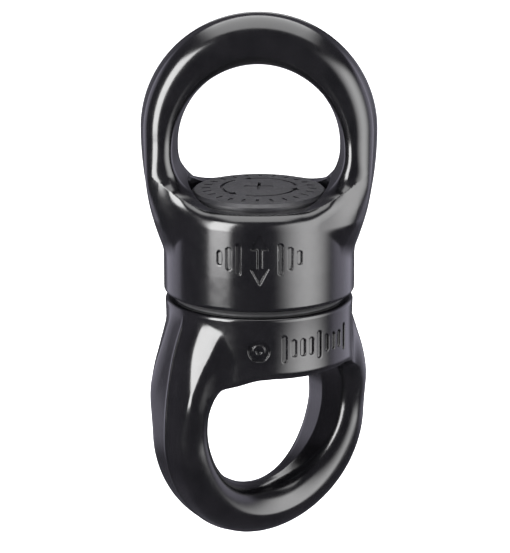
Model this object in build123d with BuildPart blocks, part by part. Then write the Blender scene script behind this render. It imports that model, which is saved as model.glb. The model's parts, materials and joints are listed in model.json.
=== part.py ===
from build123d import *
import os
from math import cos, radians, sin, sqrt

# A small rigging swivel: two forged eyes, one above the other, that turn against each
# other on a ball thrust bearing. A headed axle comes up through the lower eye, the
# housing floor and the bearing, and a pinned nut over the bearing carries the load.
# All sizes are in millimetres. +Z is the line of pull, the origin is where the anchor's
# bar bears in the crown of the upper eye, and the upper eye lies in the XZ plane.
# Heights named *_H are measured up from the underside of the housing.

# Driving dimensions -----------------------------------------------------------------
HOUSING_R = 15.5
HOUSING_H = 15.8            # underside of the housing to the lip round the cap
BAND_R = 15.3
BAND_HEIGHT = 10.4          # the lower forging's ring, from its top to its eye
GAP = 1.1                   # between the two forgings
LOWER_TURN = 38.5           # how far the lower eye stands turned, in degrees

# The forged eye, the same on both forgings
EYE_HALF_WIDTH = 19.1
EYE_CENTRE = 10.9           # lip to the widest place of the outside
SHANK_LENGTH = 31.2         # long half-axis of the ellipse that the outside tapers on
OPENING_R = 13.05
OPENING_CENTRE = 8.5        # lip to the centre of the round top of the opening
OPENING_CORNER = 8.2
DRAFT = 10.4                # forging draft of the opening, degrees each way
LEG_HALF_DEPTH = 6.2
FOOT_TOP = 9.0              # lip to where a leg starts to deepen into its foot
FOOT_SPREAD = 0.0148        # how fast it deepens below there, per mm
CROWN_THINNING = 1.5        # how much less the half depth is in the crown
EDGE_FALL = 1.2             # how far the face falls from its crest to the opening
OPENING_OVERLAP = 0.25      # how far the leg's solid runs on into the opening

# The barrels under the eyes
JOINT_ROUND = 0.6           # round of each forging's edge at the gap
HOUSING_LIP_ROUND = 2.6
HOUSING_WAIST = 0.02
BAND_LIP_ROUND = 1.4
BAND_WAIST = 0.13

# The housing's bores
FLOOR_H = 4.2
CAVITY_R = 10.6
CAP_SEAT_H = 12.8
CAP_RECESS_R = 11.6
FLOOR_BORE_R = 6.5          # where the guide bush is pressed in

# The axle and its fits
AXLE_R = 4.5
RUNNING_FIT = 0.05
SLIP_FIT = 0.1              # round parts that are only located by the axle
HEAD_R = 7.0
HEAD_SEAT = 3.2             # depth of the head's counterbore in the lower forging
AXLE_TOP_H = 14.2

# The ball bearing
BALL_COUNT = 12
BALL_R = 1.75
PITCH_R = 7.9
GROOVE_R = 1.95
RACE_THICKNESS = 2.0
GROOVE_DEPTH = 0.5
BALL_PLAY = 0.05
CAGE_THICKNESS = 1.1
POCKET_PLAY = 0.12

# Engraving
MARK_DEPTH = 0.35
HOUSING_MARK_H = 8.7
BAND_MARK_H = 5.2           # from the lower forging's joint face
PULL_BEARING = -88
BAND_BEARING = 87
LONE_BEARING = 127
LINE_WIDTH = 0.75

# Derived places ---------------------------------------------------------------------
BASE_Z = -(HOUSING_H + OPENING_CENTRE + OPENING_R)
LOWER_RACE_H = FLOOR_H + RACE_THICKNESS
BALL_H = LOWER_RACE_H - GROOVE_DEPTH + BALL_PLAY + BALL_R
UPPER_RACE_H = BALL_H + BALL_R + BALL_PLAY - GROOVE_DEPTH
WASHER_H = UPPER_RACE_H + RACE_THICKNESS
BAND_TOP_H = -GAP
BAND_FLOOR_H = BAND_TOP_H - BAND_HEIGHT

AXIAL = Plane(origin=(0, 0, BASE_Z), x_dir=(1, 0, 0), z_dir=(0, -1, 0))
UPPER = Plane(origin=(0, 0, BASE_Z), x_dir=(1, 0, 0), z_dir=(0, 0, 1))
TURN = radians(LOWER_TURN)
LOWER = Plane(
    origin=(0, 0, BASE_Z + BAND_TOP_H), x_dir=(cos(TURN), sin(TURN), 0), z_dir=(0, 0, -1)
)


def level(height):
    """The horizontal plane at a height above the housing's underside."""
    return Plane.XY.offset(BASE_Z + height)


def placed(base, plane):
    """A plane given in a forging's own frame, where that forging stands."""
    return Plane(base.location * plane.location)


def keep(piece, name):
    """Labels a finished piece and writes it as one node."""
    piece.part.label = name
    export_step(piece.part, f"parts/{name}.step")


def ring(inner, outer, low, high, mode=Mode.ADD):
    """A plain turned ring between two radii and two heights."""
    with BuildSketch(AXIAL) as profile:
        with BuildLine():
            Polyline((inner, low), (outer, low), (outer, high), (inner, high), close=True)
        make_face()
    revolve(profile.sketch, axis=Axis.Z, mode=mode)


# The forgings -----------------------------------------------------------------------
# Each is made in a frame of its own: z = 0 on the face where the two forgings meet,
# z growing towards the eye, and the eye in the local XZ plane.


def eye_section(base, outer, inner, half_depth):
    """One cross-section of the eye, from its outside to just past the opening."""
    outer = Vector(outer[0], 0, outer[1])
    inner = Vector(inner[0], 0, inner[1])
    outward = (outer - inner).normalized()
    crest = (outer - inner).length / 2
    depth = 2 * crest + OPENING_OVERLAP
    plane = Plane(origin=outer, x_dir=outward, z_dir=outward.cross(Vector(0, 1, 0)))
    with BuildSketch(placed(base, plane)) as section:
        with BuildLine():
            EllipticalCenterArc((-crest, 0), crest, half_depth, start_angle=-90, arc_size=180)
            TangentArc((-crest, half_depth), (-depth, half_depth - EDGE_FALL), tangent=(-1, 0))
            TangentArc((-crest, -half_depth), (-depth, EDGE_FALL - half_depth), tangent=(-1, 0))
            Line((-depth, half_depth - EDGE_FALL), (-depth, EDGE_FALL - half_depth))
        make_face()
    return section.sketch


def eye_sections(base, lip):
    """The sections of the whole eye, from one foot over the crown to the other foot."""
    # height over the lip, and how near to the axis the section reaches
    feet = ((-9, 7), (-6, 7), (-3, 7.5), (0, 8.2), (3, 10.4), (6, 12.4))
    legs = {}
    for side in (-1, 1):
        legs[side] = []
        for height, reach in feet:
            half_depth = LEG_HALF_DEPTH + FOOT_SPREAD * (FOOT_TOP - height) ** 2
            fall = (EYE_CENTRE - height) / SHANK_LENGTH
            outer = (side * EYE_HALF_WIDTH * sqrt(1 - fall**2), lip + height)
            inner = (side * reach, lip + height)
            legs[side].append(eye_section(base, outer, inner, half_depth))
    arch = []
    for step in range(-4, 5):
        angle = radians(22.5 * step)
        outer = (EYE_HALF_WIDTH * sin(angle), lip + EYE_CENTRE + EYE_HALF_WIDTH * cos(angle))
        inner = (OPENING_R * sin(angle), lip + OPENING_CENTRE + OPENING_R * cos(angle))
        half_depth = LEG_HALF_DEPTH - CROWN_THINNING * cos(angle) ** 2
        arch.append(eye_section(base, outer, inner, half_depth))
    return legs[-1] + arch + legs[1][::-1]


def opening_outline(base, lip, side_step, growth):
    """The eye's opening on a plane beside the mid-plane, grown by the forging draft."""
    half_width = OPENING_R + growth
    plane = Plane(origin=(0, side_step, 0), x_dir=(1, 0, 0), z_dir=(0, -1, 0))
    flat = half_width - OPENING_CORNER
    centre = lip + OPENING_CENTRE
    bend = lip + OPENING_CORNER
    with BuildSketch(placed(base, plane)) as outline:
        with BuildLine():
            Line((-flat, lip), (flat, lip))
            CenterArc((flat, bend), OPENING_CORNER, -90, 90)
            Line((half_width, bend), (half_width, centre))
            CenterArc((0, centre), half_width, 0, 180)
            Line((-half_width, centre), (-half_width, bend))
            CenterArc((-flat, bend), OPENING_CORNER, 180, 90)
        make_face()
    return outline.sketch


def forge_eye(base, radius, lip, waist, lip_round):
    """The solid forging: a barrel with an eye on top of it, opening cut, no bores."""
    profile = Plane(origin=base.origin, x_dir=base.x_dir, z_dir=-base.y_dir)
    with BuildSketch(profile) as half:
        with BuildLine():
            Line((0, lip), (0, 0))
            Line((0, 0), (radius, 0))
            ThreePointArc((radius, 0), (radius - waist, lip / 2), (radius, lip))
            Line((radius, lip), (0, lip))
        make_face()
        fillet(half.vertices().sort_by(Axis.X)[-2:].sort_by(Axis.Y)[0], JOINT_ROUND)
        fillet(half.vertices().sort_by(Axis.Y)[-2:].sort_by(Axis.X)[-1], lip_round)
    revolve(half.sketch, axis=Axis.Z)
    loft(sections=eye_sections(base, lip))
    reach = radius + 1.5
    growth = reach * sin(radians(DRAFT)) / cos(radians(DRAFT))
    for side in (-1, 1):
        middle = opening_outline(base, lip, 0, 0)
        face = opening_outline(base, lip, side * reach, growth)
        loft(sections=[middle, face], ruled=True, mode=Mode.SUBTRACT)


def engrave(base, radius, height, bearing, shapes):
    """Sinks flat marks into the barrel's side, at a bearing from the eye's own plane."""
    turn = radians(bearing)
    outward = Vector(cos(turn), sin(turn), 0)
    front = Plane(
        origin=outward * (radius + 1) + Vector(0, 0, height),
        x_dir=Vector(0, 0, 1).cross(outward),
        z_dir=outward,
    )
    with BuildPart(mode=Mode.PRIVATE) as marks:
        with BuildSketch(placed(base, front)):
            shapes()
        extrude(amount=-radius / 2)
        with BuildSketch(placed(base, Plane.XY)):
            Circle(radius - MARK_DEPTH)
        extrude(amount=2 * height, mode=Mode.SUBTRACT)
    add(marks.part, mode=Mode.SUBTRACT)


def pull_marks():
    """A double-headed arrow along the line of pull, between two sets of bars."""
    bar_lengths = (5.0, 3.6, 2.2)
    SlotOverall(6.0, LINE_WIDTH, rotation=90)
    for way in (-1, 1):
        with Locations((0, way * 2.4)):
            RegularPolygon(1.65, 3, rotation=90 * way)
        for step, length in enumerate(bar_lengths):
            with Locations((way * (3.4 + 1.6 * step), 0)):
                SlotOverall(length, LINE_WIDTH, rotation=90)


def band_marks():
    """A row of upright bars, every fourth one long."""
    pitch = 1.6
    for index in range(-4, 5):
        length = 4.4 if index % 4 == 0 else 2.8
        with Locations((index * pitch, 0)):
            SlotOverall(length, LINE_WIDTH, rotation=90)


def lone_mark():
    """A small ring with a dot in it."""
    Circle(1.7)
    Circle(1.1, mode=Mode.SUBTRACT)
    Circle(0.4)


os.makedirs("parts", exist_ok=True)

with BuildPart() as upper_forging:
    forge_eye(UPPER, HOUSING_R, HOUSING_H, HOUSING_WAIST, HOUSING_LIP_ROUND)
    ring(0, CAP_RECESS_R, CAP_SEAT_H, HOUSING_H + HOUSING_LIP_ROUND, Mode.SUBTRACT)
    ring(0, CAVITY_R, FLOOR_H, CAP_SEAT_H, Mode.SUBTRACT)
    ring(0, FLOOR_BORE_R, 0, FLOOR_H, Mode.SUBTRACT)
    engrave(UPPER, HOUSING_R, HOUSING_MARK_H, PULL_BEARING, pull_marks)
keep(upper_forging, "upper_eye")

SEAL_INNER_R = 12.1
SEAL_OUTER_R = 13.9
SEAL_DEPTH = 0.8
PIN_R = 0.8
KEY_CENTRE_R = 5.7
KEY_DEPTH = 2.4             # how far the key pin reaches into each part
BLIND_END = 0.2             # room left past the pin's end

with BuildPart() as lower_forging:
    forge_eye(LOWER, BAND_R, BAND_HEIGHT, BAND_WAIST, BAND_LIP_ROUND)
    ring(0, AXLE_R + RUNNING_FIT, BAND_FLOOR_H - 1, BAND_TOP_H, Mode.SUBTRACT)
    ring(0, HEAD_R + SLIP_FIT, BAND_FLOOR_H - HEAD_SEAT, BAND_FLOOR_H + HEAD_SEAT, Mode.SUBTRACT)
    ring(SEAL_INNER_R, SEAL_OUTER_R, BAND_TOP_H - SEAL_DEPTH, BAND_TOP_H, Mode.SUBTRACT)
    with BuildSketch(placed(LOWER, Plane(origin=(KEY_CENTRE_R, 0, BAND_HEIGHT)))):
        Circle(PIN_R)
    extrude(amount=-(HEAD_SEAT + KEY_DEPTH + BLIND_END), mode=Mode.SUBTRACT)
    engrave(LOWER, BAND_R, BAND_MARK_H, BAND_BEARING, band_marks)
    engrave(LOWER, BAND_R, BAND_MARK_H, LONE_BEARING, lone_mark)
keep(lower_forging, "lower_eye")


# The axle and what holds it ---------------------------------------------------------
HEAD_TOP_H = BAND_FLOOR_H + HEAD_SEAT
HEAD_RIM_H = BAND_FLOOR_H - 1.7
DOME_DEPTH = 2.1
LOCK_PIN_H = WASHER_H + 2.1
THREAD_RELIEF = 0.25        # the undercut where the thread starts
RELIEF_LOW_H = UPPER_RACE_H + 0.2
RELIEF_HIGH_H = UPPER_RACE_H + 1.2
END_CHAMFER = 0.6

with BuildPart() as axle:
    with BuildSketch(AXIAL):
        with BuildLine():
            Polyline(
                (0, HEAD_RIM_H - DOME_DEPTH),
                (0, AXLE_TOP_H),
                (AXLE_R - END_CHAMFER, AXLE_TOP_H),
                (AXLE_R, AXLE_TOP_H - END_CHAMFER),
                (AXLE_R, RELIEF_HIGH_H),
                (AXLE_R - THREAD_RELIEF, RELIEF_HIGH_H - THREAD_RELIEF),
                (AXLE_R - THREAD_RELIEF, RELIEF_LOW_H + THREAD_RELIEF),
                (AXLE_R, RELIEF_LOW_H),
                (AXLE_R, HEAD_TOP_H),
                (HEAD_R, HEAD_TOP_H),
                (HEAD_R, HEAD_RIM_H),
            )
            TangentArc((0, HEAD_RIM_H - DOME_DEPTH), (HEAD_R, HEAD_RIM_H), tangent=(1, 0))
        make_face()
    revolve(axis=Axis.Z)
    with BuildSketch(placed(LOWER, Plane(origin=(KEY_CENTRE_R, 0, BAND_HEIGHT - HEAD_SEAT)))):
        Circle(PIN_R)
    extrude(amount=KEY_DEPTH, mode=Mode.SUBTRACT)
    cross = placed(LOWER, Plane(origin=(0, 0, -GAP - LOCK_PIN_H), z_dir=(1, 0, 0)))
    with BuildSketch(cross):
        Circle(PIN_R)
    extrude(amount=HEAD_R, both=True, mode=Mode.SUBTRACT)
keep(axle, "axle")

with BuildPart() as key_pin:
    with BuildSketch(placed(LOWER, Plane(origin=(KEY_CENTRE_R, 0, BAND_HEIGHT - HEAD_SEAT)))):
        Circle(PIN_R)
    extrude(amount=KEY_DEPTH, both=True)
keep(key_pin, "axle_key_pin")

NUT_FLATS_R = 7.0
THREAD_FIT = 0.02
NUT_TOP_H = WASHER_H + 3.2
TAB_THICKNESS = 0.6
TAB_RISE = 2.2
TAB_WASHER_R = NUT_FLATS_R + 0.7
TAB_WIDTH = 4.0
NUT_CHAMFER = 0.5

with BuildPart() as tab_washer:
    ring(AXLE_R + SLIP_FIT, TAB_WASHER_R, WASHER_H, WASHER_H + TAB_THICKNESS)
    with BuildSketch(level(WASHER_H)):
        with Locations((0, TAB_WASHER_R - TAB_THICKNESS / 2)):
            Rectangle(TAB_WIDTH, TAB_THICKNESS)
    extrude(amount=TAB_RISE)
keep(tab_washer, "tab_washer")

with BuildPart() as axle_nut:
    with BuildSketch(level(WASHER_H + TAB_THICKNESS)):
        RegularPolygon(NUT_FLATS_R, 6, major_radius=False, rotation=0)
        Circle(AXLE_R + THREAD_FIT, mode=Mode.SUBTRACT)
    extrude(amount=NUT_TOP_H - WASHER_H - TAB_THICKNESS)
    corner_edges = axle_nut.faces().sort_by(Axis.Z)[-1].outer_wire().edges()
    chamfer(corner_edges, NUT_CHAMFER)
    with BuildSketch(cross):
        Circle(PIN_R)
    extrude(amount=2 * NUT_FLATS_R, both=True, mode=Mode.SUBTRACT)
keep(axle_nut, "axle_nut")

with BuildPart() as lock_pin:
    with BuildSketch(cross):
        Circle(PIN_R)
        Circle(PIN_R / 2, mode=Mode.SUBTRACT)
        with Locations((PIN_R, 0)):
            Rectangle(PIN_R * 1.4, 0.3, mode=Mode.SUBTRACT)
    extrude(amount=NUT_FLATS_R - 0.4, both=True)
keep(lock_pin, "lock_pin")


# The bearing ------------------------------------------------------------------------
LOWER_RACE_INNER_R = AXLE_R + 1.7
RACE_OUTER_R = CAVITY_R - 0.3
CAGE_INNER_R = AXLE_R + 1.1
CAGE_OUTER_R = CAVITY_R - 0.4


def race(inner, height, groove_height):
    """A flat race ring with its ball groove, on the side that faces the balls."""
    ring(inner, RACE_OUTER_R, height, height + RACE_THICKNESS)
    with BuildSketch(AXIAL) as groove:
        with Locations((PITCH_R, groove_height)):
            Circle(GROOVE_R)
    revolve(groove.sketch, axis=Axis.Z, mode=Mode.SUBTRACT)


with BuildPart() as lower_race:
    race(LOWER_RACE_INNER_R, FLOOR_H, LOWER_RACE_H - GROOVE_DEPTH + GROOVE_R)
keep(lower_race, "lower_race")

with BuildPart() as upper_race:
    race(AXLE_R + SLIP_FIT, UPPER_RACE_H, UPPER_RACE_H + GROOVE_DEPTH - GROOVE_R)
keep(upper_race, "upper_race")

with BuildPart() as ball_cage:
    with BuildSketch(level(BALL_H - CAGE_THICKNESS / 2)):
        Circle(CAGE_OUTER_R)
        Circle(CAGE_INNER_R, mode=Mode.SUBTRACT)
        with PolarLocations(PITCH_R, BALL_COUNT):
            Circle(BALL_R + POCKET_PLAY, mode=Mode.SUBTRACT)
    extrude(amount=CAGE_THICKNESS)
keep(ball_cage, "ball_cage")

for index, place in enumerate(PolarLocations(PITCH_R, BALL_COUNT)):
    with BuildPart(level(BALL_H)) as ball:
        with Locations((place.position.X, place.position.Y)):
            Sphere(BALL_R)
    keep(ball, f"ball_{index + 1:02d}")

with BuildPart() as guide_bush:
    ring(AXLE_R + RUNNING_FIT, FLOOR_BORE_R, 0, FLOOR_H)
keep(guide_bush, "guide_bush")


# Seals, washer and cap --------------------------------------------------------------
SLIDE_R = 9.5
SLIDE_TOP_H = -0.1
SEAL_TOP_H = -0.12
SEAL_SHOULDER_H = BAND_TOP_H + 0.3
SEAL_LIP_SLOPE = 0.6        # how far the seal's lip narrows on each side

with BuildPart() as slide_washer:
    ring(AXLE_R + SLIP_FIT, SLIDE_R, BAND_TOP_H, SLIDE_TOP_H)
keep(slide_washer, "slide_washer")

with BuildPart() as gap_seal:
    inner_side = SEAL_INNER_R + SLIP_FIT
    outer_side = SEAL_OUTER_R - SLIP_FIT
    with BuildSketch(AXIAL):
        with BuildLine():
            Polyline(
                (inner_side, BAND_TOP_H - SEAL_DEPTH),
                (outer_side, BAND_TOP_H - SEAL_DEPTH),
                (outer_side, SEAL_SHOULDER_H),
                (outer_side - SEAL_LIP_SLOPE, SEAL_TOP_H),
                (inner_side + SEAL_LIP_SLOPE, SEAL_TOP_H),
                (inner_side, SEAL_SHOULDER_H),
                close=True,
            )
        make_face()
    revolve(axis=Axis.Z)
keep(gap_seal, "gap_seal")

CAP_R = 11.0
CAP_RIM_H = HOUSING_H + 0.75
CAP_ROUND = 0.5
CROWN_H = CAP_RIM_H + 0.5
CAP_UNDER_H = CROWN_H - 1.7
SKIRT_R = CAVITY_R - RUNNING_FIT
SKIRT_WALL = 1.3
SKIRT_LOW_H = 11.2
RING_H = 12.0               # the O-ring's height
RING_R = 0.45               # half the width of its groove
RING_GROOVE = 0.9
RING_SQUEEZE = 0.02

# Marks on the cap: a broken circle of arrows, a cross and a ring of short strokes
TICK_CIRCLE_R = 8.6
TICK_COUNT = 24
ARROW_CIRCLE_R = 6.05
ARROW_COUNT = 3
STROKE = 0.5

with BuildPart() as cap:
    with BuildSketch(AXIAL):
        with BuildLine():
            Polyline(
                (0, CROWN_H),
                (0, CAP_UNDER_H),
                (SKIRT_R - SKIRT_WALL, CAP_UNDER_H - CAP_ROUND),
                (SKIRT_R - SKIRT_WALL, SKIRT_LOW_H),
                (SKIRT_R, SKIRT_LOW_H),
                (SKIRT_R, CAP_SEAT_H),
                (CAP_R, CAP_SEAT_H),
                (CAP_R, CAP_RIM_H - CAP_ROUND),
                (CAP_R - CAP_ROUND, CAP_RIM_H),
            )
            TangentArc((0, CROWN_H), (CAP_R - CAP_ROUND, CAP_RIM_H), tangent=(1, 0))
        make_face()
        with Locations((SKIRT_R, RING_H)):
            Rectangle(2 * RING_GROOVE, 2 * RING_R, mode=Mode.SUBTRACT)
    revolve(axis=Axis.Z)
    with BuildSketch(level(CROWN_H)):
        with PolarLocations(TICK_CIRCLE_R, TICK_COUNT):
            SlotOverall(1.5, STROKE)
        Circle(ARROW_CIRCLE_R + STROKE / 2)
        Circle(ARROW_CIRCLE_R - STROKE / 2, mode=Mode.SUBTRACT)
        with PolarLocations(ARROW_CIRCLE_R, ARROW_COUNT):
            Rectangle(2.4, 2.4, mode=Mode.SUBTRACT)
        with PolarLocations(ARROW_CIRCLE_R, ARROW_COUNT, start_angle=-11.5):
            RegularPolygon(0.9, 3, rotation=-30)
        for turn in (0, 90):
            SlotOverall(5.0, STROKE, rotation=turn)
    extrude(amount=-(CROWN_H - CAP_RIM_H), mode=Mode.SUBTRACT)
keep(cap, "cap")

with BuildPart() as cap_ring:
    with BuildSketch(AXIAL):
        with Locations((CAVITY_R - RING_SQUEEZE - RING_R, RING_H)):
            Circle(RING_R - RING_SQUEEZE)
    revolve(axis=Axis.Z)
keep(cap_ring, "cap_o_ring")
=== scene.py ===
"""The looks of a small black rigging swivel: two forged eyes that turn against each other.

The two forgings are remade here as fine meshes with the soft blends of a real forging. Each is
the surface where a field, roughly a signed distance in millimetres, is zero. Everything else
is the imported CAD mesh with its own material.
"""

import json
from collections import namedtuple
from math import cos, pi, radians, sin

import bpy
import numpy as np
from mathutils import Matrix, Vector


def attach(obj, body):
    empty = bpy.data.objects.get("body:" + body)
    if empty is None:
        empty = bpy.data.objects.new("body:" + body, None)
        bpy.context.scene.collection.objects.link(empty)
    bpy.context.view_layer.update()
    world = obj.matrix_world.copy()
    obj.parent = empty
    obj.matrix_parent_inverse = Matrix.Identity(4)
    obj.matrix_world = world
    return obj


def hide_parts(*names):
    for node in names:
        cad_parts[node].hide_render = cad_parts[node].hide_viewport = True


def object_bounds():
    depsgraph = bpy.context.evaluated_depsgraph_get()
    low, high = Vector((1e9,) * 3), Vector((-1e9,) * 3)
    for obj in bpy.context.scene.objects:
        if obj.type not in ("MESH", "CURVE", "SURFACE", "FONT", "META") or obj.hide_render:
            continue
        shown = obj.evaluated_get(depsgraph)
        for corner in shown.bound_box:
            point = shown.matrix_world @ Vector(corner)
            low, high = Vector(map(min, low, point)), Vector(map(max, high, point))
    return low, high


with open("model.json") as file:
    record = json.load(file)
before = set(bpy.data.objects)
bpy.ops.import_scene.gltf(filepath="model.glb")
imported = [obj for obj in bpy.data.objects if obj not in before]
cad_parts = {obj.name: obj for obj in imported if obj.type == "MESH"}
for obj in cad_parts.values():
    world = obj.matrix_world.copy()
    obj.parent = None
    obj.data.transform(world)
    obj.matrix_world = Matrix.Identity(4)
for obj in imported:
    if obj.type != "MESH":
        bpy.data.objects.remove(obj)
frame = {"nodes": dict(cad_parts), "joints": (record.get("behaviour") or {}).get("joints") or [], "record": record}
cad_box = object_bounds()

MM = 0.001

# Sizes of the forgings, in millimetres ------------------------------------------------
HOUSING_R = 15.5
HOUSING_H = 15.8            # from the joint face to the lip round the cap
BAND_R = 15.3
BAND_HEIGHT = 10.4          # from the joint face to the lower eye's lip
GAP = 1.1                   # between the two forgings
LOWER_TURN = radians(38.5)  # how far the lower eye stands turned
JOINT_ROUND = 0.6
HOUSING_LIP_ROUND = 2.6
BAND_LIP_ROUND = 1.4
HOUSING_TAPER = 0.008       # how fast the housing narrows above its straight part
HOUSING_STRAIGHT = 5.5
BAND_WAIST = 0.13
BARREL_ABOVE_LIP = 1.5      # what the barrel has over its lip before the opening is cut
LEG_START = 1.5             # the lowest that a leg's solid reaches, over the joint face

# The eyes; heights are over the lip
EYE_HALF_WIDTH = 19.1
EYE_CENTRE = 10.8           # the widest place of the outside
OPENING_R = 13.05
OPENING_CORNER = 7.8
OPENING_DRAFT = 0.15        # how fast the opening widens from the mid-plane
LEG_HALF_DEPTH = 5.95
CROWN_THINNING = 1.3        # how much less the half depth is in the crown
SHOULDER_ROUND = 2.7        # from the flank round to the eye's face
CROWN_SHOULDER = 0.8        # how much more that is in the crown
FOOT_SHOULDER = -1.3        # and in the foot
CROWN_INNER = 1.6           # how much more the opening's round is in the crown
PARTING_RAISE = 0.1
PARTING_WIDTH = 0.25
PARTING_BAND = 2.5          # the bead is only within this depth of the outline

# The feet, where the legs swell into the barrels
FOOT_BOTTOM = -3.0          # where a foot has finished its swell
FOOT_SWELL = 1.4            # how much deeper the foot is on each side
FOOT_FLARE = 0.22           # how fast it deepens further down
FLARE_START = -2.0
FLARE_EASE = 3.0            # over how much height that slope comes in
FOOT_DRAFT = radians(2)     # how far a foot's flank leans in from the parting line
FOOT_WIDTH_START = 1.5      # where the foot starts to take its full width
FOOT_REACH = 9.0            # height over which it does so
FOOT_WIDENING = 0.75        # how much further out it stands then
FOOT_FLAT = 2.45            # half depth of its outside that doesn't lean in, at the lip
FLAT_LOSS = 3.4             # how much less that is at full width
FLAT_GAIN = 2.0             # and how much more above the lip
FLAT_GAIN_HEIGHT = 10.0
FOOT_BEND = 0.083           # of the parabola it leans in on, per mm
BEND_LOSS = 0.037           # how much less that is at full width
SHANK_LIMIT = 0.3           # keeps the ellipse from closing under the barrel

# Blends between the pieces of a forging
EDGE_BLEND = 0.5            # reach of the blend where an eye's flanks leave its barrel
FACE_BLEND_DEPTH = 7.0      # half depth at which the faces have their own full blend
FACE_BLEND_START = -7.0
BLEND_HEIGHT = 4.0          # height over which a blend or a round changes
RIDGE_ROUND = 0.4           # where a leg's flank meets its foot
BORE_ROUND = 0.2
MARK_ROUND = 0.15

EyeShape = namedtuple("EyeShape", "shank flank_draft foot_top opening_centre inner_round blend")
# Length of the shank's ellipse, draft of the flanks, where a leg starts to swell into its
# foot, centre of the opening, round of the opening's edges, and reach of the blend between
# the legs' faces and the barrel
UPPER_EYE = EyeShape(33.0, radians(10), 10.0, 8.35, 1.4, 4.0)
LOWER_EYE = EyeShape(31.5, radians(7), 12.0, 8.45, 2.3, 2.0)

# Bores in each forging's own frame: radius, from, to
UPPER_BORES = ((11.6, 12.8, HOUSING_H + 4), (10.6, 4.2, 13.5), (6.5, -1, 4.5))
LOWER_BORES = ((4.55, -1, 20), (7.1, BAND_HEIGHT - 3.2, BAND_HEIGHT + 3))

# Engraved marks: bearings in degrees, heights over the joint face
MARK_DEPTH = 0.35
LINE_WIDTH = 0.75
PULL_BEARING = -88
PULL_HEIGHT = 8.7
ARROW_LENGTH = 6.0
HEAD_BASE = 1.6             # from the arrow's middle to the base of its head
HEAD_REACH = 2.05           # from the arrow's middle square out to the head's slanting side
HEAD_SLANT = (0.87, 0.5)    # that side's normal, across and along the arrow
FIRST_BAR = 3.4
SIDE_BARS = (5.0, 3.6, 2.2)
BAR_PITCH = 1.6
BAND_BEARING = 87
BAND_MARK_HEIGHT = 5.2
LONG_BAR = 4.4
SHORT_BAR = 2.8
LONE_BEARING = 127
LONE_HEIGHT = 5.4
RING_R = 1.4
RING_HALF_LINE = 0.32
DOT_R = 0.42

VOXEL = 0.2


# Fields -------------------------------------------------------------------------------
def soft_min(a, b, reach):
    """The lower of two fields, with a blend where they are nearly equal."""
    share = np.clip(0.5 + 0.5 * (b - a) / reach, 0, 1)
    return b + (a - b) * share - reach * share * (1 - share)


def soft_max(a, b, reach):
    """The higher of two fields, with a rounded edge where they are nearly equal."""
    return -soft_min(-a, -b, reach)


def round_max(a, b, radius):
    """The higher of two fields, with a true round of that radius on the outer corner."""
    corner = np.hypot(np.maximum(a + radius, 0), np.maximum(b + radius, 0))
    return np.minimum(np.maximum(a, b), -radius) + corner


def ease(share):
    """0 to 1 with a smooth start and end."""
    share = np.clip(share, 0, 1)
    return share * share * (3 - 2 * share)


def oval(x, rise, shank):
    """1 on the eye's outline, a circle above its widest place and an ellipse below it."""
    return np.hypot(x / EYE_HALF_WIDTH, rise / np.where(rise > 0, EYE_HALF_WIDTH, shank))


def outline_depth(x, z, shank):
    """How far a point of the mid-plane lies inside the eye's outline, z over the lip."""
    rise = z - EYE_CENTRE
    long = np.where(rise > 0, EYE_HALF_WIDTH, shank)
    share = oval(x, rise, shank) + 1e-9
    slope = np.hypot(x / EYE_HALF_WIDTH**2, rise / long**2) + 1e-9
    return share * (1 - share) / slope


def foot_body(x, y, z, shank):
    """The field of the rounded outside of a foot, z over the lip.

    It leans in from the outline as a parabola, which gets wider down into the barrel.
    """
    rise = z - EYE_CENTRE
    below = np.sqrt(np.clip(1 - (np.minimum(rise, 0) / shank) ** 2, SHANK_LIMIT, 1))
    down = ease((FOOT_WIDTH_START - z) / FOOT_REACH)
    flat = FOOT_FLAT - FLAT_LOSS * down + FLAT_GAIN * ease(z / FLAT_GAIN_HEIGHT)
    from_middle = np.maximum(np.abs(y) - flat, 0)
    bend = FOOT_BEND - BEND_LOSS * down
    lean = bend * from_middle**2
    across = np.hypot(x, np.maximum(rise, 0))
    outside = across - EYE_HALF_WIDTH * below - FOOT_WIDENING * down + lean
    return outside / np.hypot(1, 2 * bend * from_middle)


def opening(x, y, z, centre):
    """The field of the eye's opening, negative inside it, z over the lip."""
    rise = z - centre
    side = np.where(rise > 0, np.hypot(x, rise), np.abs(x)) - OPENING_R
    return round_max(side - OPENING_DRAFT * np.abs(y), -z, OPENING_CORNER)


def parting_bead(y, depth):
    """How much the flash line stands out round the outside of the eye."""
    return PARTING_RAISE * np.exp(-((y / PARTING_WIDTH) ** 2)) * (depth < PARTING_BAND)


def crown_share(x, z):
    """0 at and below the eye's widest place, and from there up to 1 at its very top."""
    rise = np.maximum(z - EYE_CENTRE, 0)
    return rise**2 / (x**2 + rise**2 + 1e-6)


def eye(x, y, z, shape):
    """The field of the eye before its opening is cut, z over the lip."""
    depth = outline_depth(x, z, shape.shank)
    crown = crown_share(x, z)
    foot = ease((shape.foot_top - z) / (shape.foot_top - FOOT_BOTTOM))
    half = LEG_HALF_DEPTH - CROWN_THINNING * crown + FOOT_SWELL * foot
    flared = FLARE_START - z
    half = half + FOOT_FLARE * (np.hypot(flared, FLARE_EASE) + flared) / 2
    shoulder = SHOULDER_ROUND + CROWN_SHOULDER * crown + FOOT_SHOULDER * foot
    draft = shape.flank_draft + (FOOT_DRAFT - shape.flank_draft) * foot
    flank = np.abs(y) * np.sin(draft) - depth * np.cos(draft)
    outside = soft_max(flank, foot_body(x, y, z, shape.shank), RIDGE_ROUND)
    outside = outside - parting_bead(y, depth)
    return round_max(outside, np.abs(y) - half, shoulder)


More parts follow.
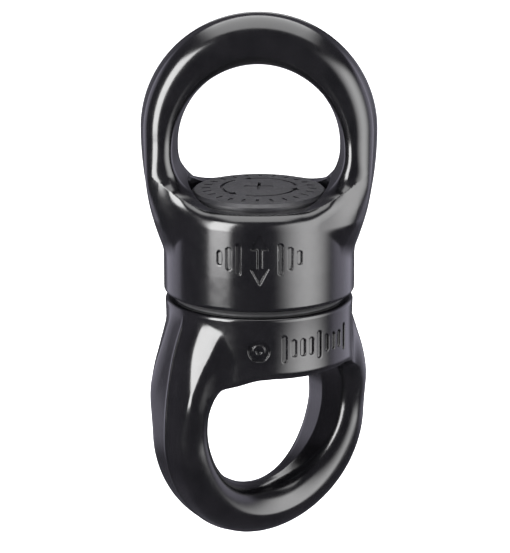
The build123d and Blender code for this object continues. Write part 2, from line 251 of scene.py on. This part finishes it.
def forging(x, y, z, wall, lip, lip_round, shape, bores, marks):
    """The whole forging in its own frame: z = 0 on its joint face, the eye above.

    The wall gives the barrel's radius at each height.
    """
    around = np.hypot(x, y)
    radius = wall(z)
    above = z - lip
    barrel = np.maximum(around - radius, above - BARREL_ABOVE_LIP)
    barrel = round_max(barrel, -z, JOINT_ROUND)
    legs = np.maximum(eye(x, y, above, shape), LEG_START - z)
    in_front = np.clip(np.abs(y) / FACE_BLEND_DEPTH, 0, 1)
    face = in_front * ease((above - FACE_BLEND_START) / BLEND_HEIGHT)
    solid = soft_min(barrel, legs, EDGE_BLEND + (shape.blend - EDGE_BLEND) * face)
    edge = lip_round + (shape.inner_round - lip_round) * ease(above / BLEND_HEIGHT)
    edge = edge + CROWN_INNER * crown_share(x, above)
    solid = round_max(solid, -opening(x, y, above, shape.opening_centre), edge)
    for inner_r, low, high in bores:
        bore = np.maximum(around - inner_r, np.maximum(low - z, z - high))
        solid = soft_max(solid, -bore, BORE_ROUND)
    for bearing, height, mark in marks:
        along = (np.arctan2(y, x) - radians(bearing) + np.pi) % (2 * np.pi) - np.pi
        cut = np.maximum(mark(along * radius, z - height), radius - MARK_DEPTH - around)
        solid = soft_max(solid, -cut, MARK_ROUND)
    return solid


# Marks: flat shapes unrolled round a barrel, s along it and t up it --------------------
def bar(s, t, centre, height):
    """The field of an upright bar with round ends."""
    half = LINE_WIDTH / 2
    return np.hypot(s - centre, np.maximum(np.abs(t) - height / 2 + half, 0)) - half


def arrowhead(s, t):
    """The field of the arrow's upper head, a triangle with its point up."""
    slant = np.abs(s) * HEAD_SLANT[0] + t * HEAD_SLANT[1] - HEAD_REACH
    return np.maximum(slant, HEAD_BASE - t)


def pull_marks(s, t):
    """A double-headed arrow along the line of pull, between two sets of bars."""
    shape = bar(s, t, 0, ARROW_LENGTH)
    for way in (-1, 1):
        shape = np.minimum(shape, arrowhead(s, way * t))
        for step, length in enumerate(SIDE_BARS):
            shape = np.minimum(shape, bar(s, t, way * (FIRST_BAR + BAR_PITCH * step), length))
    return shape


def band_marks(s, t):
    """A row of nine upright bars, every fourth one long."""
    bars = []
    for index in range(-4, 5):
        bars.append(bar(s, t, index * BAR_PITCH, LONG_BAR if index % 4 == 0 else SHORT_BAR))
    return np.minimum.reduce(bars)


def lone_mark(s, t):
    """A small ring with a dot in it."""
    around = np.hypot(s, t)
    return np.minimum(np.abs(around - RING_R) - RING_HALF_LINE, around - DOT_R)


# Meshing ------------------------------------------------------------------------------
def surface_net(field, low, high, step):
    """Points and quads of the surface where the field is zero, inside a box."""
    axes = [np.arange(a, b + step, step) for a, b in zip(low, high)]
    values = field(*np.meshgrid(*axes, indexing="ij"))
    inside = values < 0
    cells = np.array(values.shape)
    quads, points = [], []
    for axis in range(3):
        near = [slice(None)] * 3
        far = [slice(None)] * 3
        near[axis] = slice(0, -1)
        far[axis] = slice(1, None)
        near, far = tuple(near), tuple(far)
        crossing = np.nonzero(inside[near] != inside[far])
        start, end = values[near][crossing], values[far][crossing]
        place = np.stack(crossing, 1)
        where = place.astype(float)
        where[:, axis] += start / (start - end)
        one, two = (axis + 1) % 3, (axis + 2) % 3
        corners = []
        for back_one, back_two in ((0, 0), (1, 0), (1, 1), (0, 1)):
            cell = place.copy()
            cell[:, one] -= back_one
            cell[:, two] -= back_two
            corners.append(np.ravel_multi_index(cell.T, cells))
        ring = np.stack(corners, 1)
        flip = start < 0
        ring[flip] = ring[flip][:, ::-1]
        quads.append(ring[:, ::-1])
        points.append(np.repeat(where, 4, axis=0).reshape(-1, 4, 3))
    quads = np.concatenate(quads)
    points = np.concatenate(points).reshape(-1, 3)
    _, index = np.unique(quads.ravel(), return_inverse=True)
    count = np.bincount(index)
    centre = np.stack([np.bincount(index, points[:, i]) / count for i in range(3)], 1)
    return np.array(low) + centre * step, index.reshape(-1, 4)


def gradient(field, points, span=0.02):
    """The field's slope at each point."""
    slopes = []
    for axis in range(3):
        ahead, behind = points.T.copy(), points.T.copy()
        ahead[axis] += span
        behind[axis] -= span
        slopes.append((field(*ahead) - field(*behind)) / (2 * span))
    return np.stack(slopes, 1)


def settle(field, points, limit):
    """Moves the points onto the surface, each by no more than the limit."""
    start = points.copy()
    for _ in range(4):
        slope = gradient(field, points)
        size = np.maximum((slope**2).sum(1), 0.04)
        points = points - slope * (field(*points.T) / size)[:, None]
        move = points - start
        length = np.linalg.norm(move, axis=1, keepdims=True)
        points = start + move * np.minimum(1, limit / np.maximum(length, 1e-9))
    return points


def forged_piece(name, field, low, high, axes, origin):
    """Makes a forging's mesh from its field and places it in the shared frame.

    The rows of axes are the forging's own X, Y and Z; origin is in metres.
    """
    points, quads = surface_net(field, low, high, VOXEL)
    points = settle(field, points, 0.6 * VOXEL)
    normals = gradient(field, points)
    normals /= np.maximum(np.linalg.norm(normals, axis=1, keepdims=True), 1e-9)
    mesh = bpy.data.meshes.new(name)
    mesh.from_pydata((np.array(origin) + points @ axes * MM).tolist(), [], quads.tolist())
    mesh.polygons.foreach_set("use_smooth", np.ones(len(quads), bool))
    mesh.update()
    mesh.normals_split_custom_set_from_vertices((normals @ axes).tolist())
    piece = bpy.data.objects.new(name, mesh)
    bpy.context.scene.collection.objects.link(piece)
    return piece


# The two forgings ---------------------------------------------------------------------
def housing_wall(z):
    """The housing's radius: straight at its joint, with a slight taper up to its lip."""
    return HOUSING_R - HOUSING_TAPER * np.clip(z - HOUSING_STRAIGHT, 0, 12)


def band_wall(z):
    """The lower forging's radius: a faint waist between its joint and its lip."""
    return BAND_R - BAND_WAIST * np.clip(1 - (2 * z / BAND_HEIGHT - 1) ** 2, 0, 1)


def upper_field(x, y, z):
    """The upper forging, in its own frame."""
    marks = ((PULL_BEARING, PULL_HEIGHT, pull_marks),)
    sizes = (housing_wall, HOUSING_H, HOUSING_LIP_ROUND, UPPER_EYE)
    return forging(x, y, z, *sizes, UPPER_BORES, marks)


def lower_field(x, y, z):
    """The lower forging, in its own frame."""
    band = (BAND_BEARING, BAND_MARK_HEIGHT, band_marks)
    marks = (band, (LONE_BEARING, LONE_HEIGHT, lone_mark))
    sizes = (band_wall, BAND_HEIGHT, BAND_LIP_ROUND, LOWER_EYE)
    return forging(x, y, z, *sizes, LOWER_BORES, marks)


MARGIN = 1.0                # of the meshing box round each forging
joint_z = next(j["pos_m"][2] for j in frame["joints"] if j["name"] == "swivel")
top = EYE_CENTRE + EYE_HALF_WIDTH + MARGIN
wide = EYE_HALF_WIDTH + MARGIN
upper = forged_piece(
    "upper_forging", upper_field,
    (-wide, -HOUSING_R - MARGIN, -MARGIN), (wide, HOUSING_R + MARGIN, HOUSING_H + top),
    np.eye(3), (0, 0, joint_z),
)
turned = np.array([
    [cos(LOWER_TURN), sin(LOWER_TURN), 0],
    [sin(LOWER_TURN), -cos(LOWER_TURN), 0],
    [0, 0, -1],
])
lower = forged_piece(
    "lower_forging", lower_field,
    (-wide, -BAND_R - MARGIN, -MARGIN), (wide, BAND_R + MARGIN, BAND_HEIGHT + top),
    turned, (0, 0, joint_z - GAP * MM),
)
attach(upper, "upper")
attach(lower, "lower")
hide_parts("upper_eye")
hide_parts("lower_eye")


# Materials ----------------------------------------------------------------------------
def material(name, colour, metallic, roughness, coat=0.0, coat_roughness=0.1):
    """A Principled material, and the helpers to add nodes to it."""
    made = bpy.data.materials.new(name)
    made.use_nodes = True
    shader = made.node_tree.nodes["Principled BSDF"]
    shader.inputs["Base Color"].default_value = (*colour, 1)
    shader.inputs["Metallic"].default_value = metallic
    shader.inputs["Roughness"].default_value = roughness
    shader.inputs["Coat Weight"].default_value = coat
    shader.inputs["Coat Roughness"].default_value = coat_roughness
    return made, shader


def noise(made, scale, detail=3.0, roughness=0.5):
    """A noise over the object's own coordinates; scale is in features per metre."""
    nodes, links = made.node_tree.nodes, made.node_tree.links
    place = nodes.new("ShaderNodeTexCoord")
    texture = nodes.new("ShaderNodeTexNoise")
    texture.inputs["Scale"].default_value = scale
    texture.inputs["Detail"].default_value = detail
    texture.inputs["Roughness"].default_value = roughness
    links.new(place.outputs["Object"], texture.inputs["Vector"])
    return texture.outputs["Fac"]


def spread(made, value, low, high, from_low=0.3, from_high=0.7):
    """Maps a 0 to 1 value onto a range."""
    nodes, links = made.node_tree.nodes, made.node_tree.links
    node = nodes.new("ShaderNodeMapRange")
    node.inputs["From Min"].default_value = from_low
    node.inputs["From Max"].default_value = from_high
    node.inputs["To Min"].default_value = low
    node.inputs["To Max"].default_value = high
    links.new(value, node.inputs["Value"])
    return node.outputs["Result"]


def bumps(made, shader, *layers):
    """Stacks bump layers, each a value and its height in millimetres."""
    nodes, links = made.node_tree.nodes, made.node_tree.links
    last = None
    for value, height in layers:
        node = nodes.new("ShaderNodeBump")
        node.inputs["Distance"].default_value = height * MM
        links.new(value, node.inputs["Height"])
        if last is not None:
            links.new(last, node.inputs["Normal"])
        last = node.outputs["Normal"]
    links.new(last, shader.inputs["Normal"])


def tint(made, shader, value, dark, light):
    """Varies the base colour between two colours."""
    nodes, links = made.node_tree.nodes, made.node_tree.links
    ramp = nodes.new("ShaderNodeValToRGB")
    ramp.color_ramp.elements[0].position = 0.3
    ramp.color_ramp.elements[1].position = 0.7
    ramp.color_ramp.elements[0].color = (*dark, 1)
    ramp.color_ramp.elements[1].color = (*light, 1)
    links.new(value, ramp.inputs["Fac"])
    links.new(ramp.outputs["Color"], shader.inputs["Base Color"])


def anodised_forging():
    """Black anodised aluminium: a satin gloss over faint forging waves and fine grain."""
    made, shader = material("anodised_forging", (0.0015, 0.0015, 0.0018), 0.0, 0.17)
    shader.inputs["IOR"].default_value = 1.5
    links = made.node_tree.links
    tint(made, shader, noise(made, 260, 4), (0.0012, 0.0012, 0.0015), (0.0028, 0.0027, 0.0032))
    links.new(spread(made, noise(made, 900, 3), 0.15, 0.20), shader.inputs["Roughness"])
    bumps(
        made, shader,
        (noise(made, 220, 2), 0.010),
        (noise(made, 4200, 3, 0.6), 0.0015),
    )
    return made


def anodised_cap():
    """The cap's duller black, with a coarser grain."""
    made, shader = material("anodised_cap", (0.006, 0.006, 0.007), 0.0, 0.42)
    links = made.node_tree.links
    tint(made, shader, noise(made, 500, 4), (0.004, 0.004, 0.005), (0.010, 0.0096, 0.012))
    links.new(spread(made, noise(made, 1400, 3), 0.38, 0.52), shader.inputs["Roughness"])
    bumps(made, shader, (noise(made, 3000, 4, 0.6), 0.012))
    return made


def steel(name, colour, roughness, grain):
    """Machined or plated steel with a fine uneven finish."""
    made, shader = material(name, colour, 1.0, roughness)
    links = made.node_tree.links
    dark = tuple(0.82 * c for c in colour)
    tint(made, shader, noise(made, 600, 4), dark, colour)
    rough = spread(made, noise(made, 1500, 3), 0.8 * roughness, 1.25 * roughness)
    links.new(rough, shader.inputs["Roughness"])
    bumps(made, shader, (noise(made, 2500, 3), grain))
    return made


def soft_part(name, colour, roughness):
    """Rubber or filled plastic."""
    made, shader = material(name, colour, 0.0, roughness)
    links = made.node_tree.links
    tint(made, shader, noise(made, 700, 3), colour, tuple(1.5 * c for c in colour))
    rough = spread(made, noise(made, 1800, 3), 0.9 * roughness, 1.1 * roughness)
    links.new(rough, shader.inputs["Roughness"])
    bumps(made, shader, (noise(made, 4000, 3), 0.01))
    return made


MATERIALS = {
    "forged_alloy": anodised_forging(),
    "cap_alloy": anodised_cap(),
    "axle_steel": steel("plated_steel", (0.2, 0.2, 0.21), 0.3, 0.01),
    "race_steel": steel("ground_steel", (0.55, 0.55, 0.56), 0.2, 0.004),
    "ball_steel": steel("polished_steel", (0.75, 0.75, 0.76), 0.07, 0.001),
    "cage_brass": steel("pressed_brass", (0.72, 0.52, 0.22), 0.3, 0.01),
    "bush_bronze": steel("sintered_bronze", (0.5, 0.32, 0.15), 0.45, 0.03),
    "slide_plastic": soft_part("slide_plastic", (0.02, 0.02, 0.02), 0.5),
    "seal_rubber": soft_part("seal_rubber", (0.012, 0.012, 0.013), 0.6),
}

for part in frame["record"]["subparts"]:
    node = frame["nodes"][part["node"]]
    node.data.materials.clear()
    node.data.materials.append(MATERIALS[part["material_slot"]])
for piece in (upper, lower):
    piece.data.materials.append(MATERIALS["forged_alloy"])


# Stage, lights and camera, in metres and degrees --------------------------------------
centre = Vector((0, 0, joint_z))

FLOOR_DROP = 0.15
FLOOR_SIZE = 40
CAMERA_AZIMUTH = 1.79
CAMERA_ELEVATION = 15.1
CAMERA_ROLL = -0.1
CAMERA_DISTANCE = 0.6155
SENSOR = 36.0               # millimetres, like the lens
LENS = 245.98
AIM_RIGHT = -0.00067
AIM_UP = 0.00181
ROOM_BRIGHTNESS = 0.15
WHITE = (1.0, 1.0, 1.0)
COOL = (0.93, 0.9, 1.08)


def floor_plane():
    """A plain white floor, well below the hanging part, that the part doesn't mirror."""
    under = (0, 0, cad_box[0][2] - FLOOR_DROP)
    bpy.ops.mesh.primitive_plane_add(size=FLOOR_SIZE, location=under)
    made, shader = material("floor", (0.9, 0.9, 0.9), 0.0, 0.9)
    shader.inputs["Emission Color"].default_value = (1, 1, 1, 1)
    shader.inputs["Emission Strength"].default_value = 1.0
    plane = bpy.context.object
    plane.name = "floor"
    plane.visible_glossy = False
    plane.data.materials.append(made)


def feather(lamp, name, edge):
    """A strength that falls off smoothly over a share of the lamp's width or height."""
    nodes, links = lamp.node_tree.nodes, lamp.node_tree.links
    place = nodes.new("ShaderNodeNewGeometry")
    split = nodes.new("ShaderNodeSeparateXYZ")
    links.new(place.outputs["Parametric"], split.inputs["Vector"])
    wave = nodes.new("ShaderNodeMath")
    wave.operation = "PINGPONG"
    wave.inputs[1].default_value = 0.5
    links.new(split.outputs[name], wave.inputs[0])
    fade = nodes.new("ShaderNodeMapRange")
    fade.interpolation_type = "SMOOTHSTEP"
    fade.inputs["From Max"].default_value = edge
    links.new(wave.outputs["Value"], fade.inputs["Value"])
    return fade.outputs["Result"]


def softbox(name, azimuth, elevation, distance, width, height, brightness, edges, colour=WHITE):
    """An area light facing the part; azimuth is to the camera's right, in degrees.

    Edges are the shares of its width and height over which it fades out on each side.
    """
    turn, rise = radians(azimuth + CAMERA_AZIMUTH), radians(elevation)
    away = Vector((sin(turn) * cos(rise), -cos(turn) * cos(rise), sin(rise)))
    light = bpy.data.lights.new(name, "AREA")
    light.shape = "RECTANGLE"
    light.size = width
    light.size_y = height
    light.energy = brightness * pi * width * height
    light.color = colour
    light.use_nodes = True
    nodes, links = light.node_tree.nodes, light.node_tree.links
    both = nodes.new("ShaderNodeMath")
    both.operation = "MULTIPLY"
    links.new(feather(light, "X", edges[0]), both.inputs[0])
    links.new(feather(light, "Y", edges[1]), both.inputs[1])
    links.new(both.outputs["Value"], nodes["Emission"].inputs["Strength"])
    holder = bpy.data.objects.new(name, light)
    holder.location = centre + away * distance
    holder.rotation_euler = away.to_track_quat("Z", "Y").to_euler()
    holder.visible_camera = False
    bpy.context.scene.collection.objects.link(holder)


def surroundings():
    """A dim room to reflect, which the camera itself sees as plain white."""
    world = bpy.data.worlds.new("world")
    bpy.context.scene.world = world
    world.use_nodes = True
    nodes, links = world.node_tree.nodes, world.node_tree.links
    room = nodes["Background"]
    room.inputs["Color"].default_value = (*COOL, 1)
    room.inputs["Strength"].default_value = ROOM_BRIGHTNESS
    white = nodes.new("ShaderNodeBackground")
    white.inputs["Color"].default_value = (1, 1, 1, 1)
    path = nodes.new("ShaderNodeLightPath")
    choose = nodes.new("ShaderNodeMixShader")
    links.new(path.outputs["Is Camera Ray"], choose.inputs["Fac"])
    links.new(room.outputs["Background"], choose.inputs[1])
    links.new(white.outputs["Background"], choose.inputs[2])
    links.new(choose.outputs["Shader"], nodes["World Output"].inputs["Surface"])


def add_camera():
    """The camera, aimed a little beside the joint so that the part sits as framed."""
    turn, rise = radians(CAMERA_AZIMUTH), radians(CAMERA_ELEVATION)
    back = Vector((sin(turn) * cos(rise), -cos(turn) * cos(rise), sin(rise)))
    right = Vector((cos(turn), sin(turn), 0))
    up = back.cross(right)
    data = bpy.data.cameras.new("camera")
    data.sensor_width = SENSOR
    data.lens = LENS
    data.clip_start = 0.01
    camera = bpy.data.objects.new("camera", data)
    look = Matrix((right, up, back)).transposed()
    look = look @ Matrix.Rotation(radians(CAMERA_ROLL), 3, "Z")
    camera.matrix_world = look.to_4x4()
    camera.location = centre + back * CAMERA_DISTANCE + right * AIM_RIGHT + up * AIM_UP
    bpy.context.scene.collection.objects.link(camera)
    bpy.context.scene.camera = camera


floor_plane()
add_camera()
softbox("right_softbox", 58, 8, 0.7, 1.3, 0.95, 8, (0.5, 0.2))
softbox("left_softbox", -48.5, 14, 0.6, 0.33, 0.655, 18, (0.08, 0.08))
softbox("top_softbox", 180, 81, 0.7, 1.0, 1.13, 4.8, (0.2, 0.08))
softbox("left_fill", -128, 0, 0.8, 0.7, 0.9, 1.0, (0.2, 0.3), COOL)
softbox("right_fill", 123, 0, 0.8, 1.05, 0.9, 1.1, (0.3, 0.3), COOL)
surroundings()
bpy.context.scene.view_settings.view_transform = "Standard"
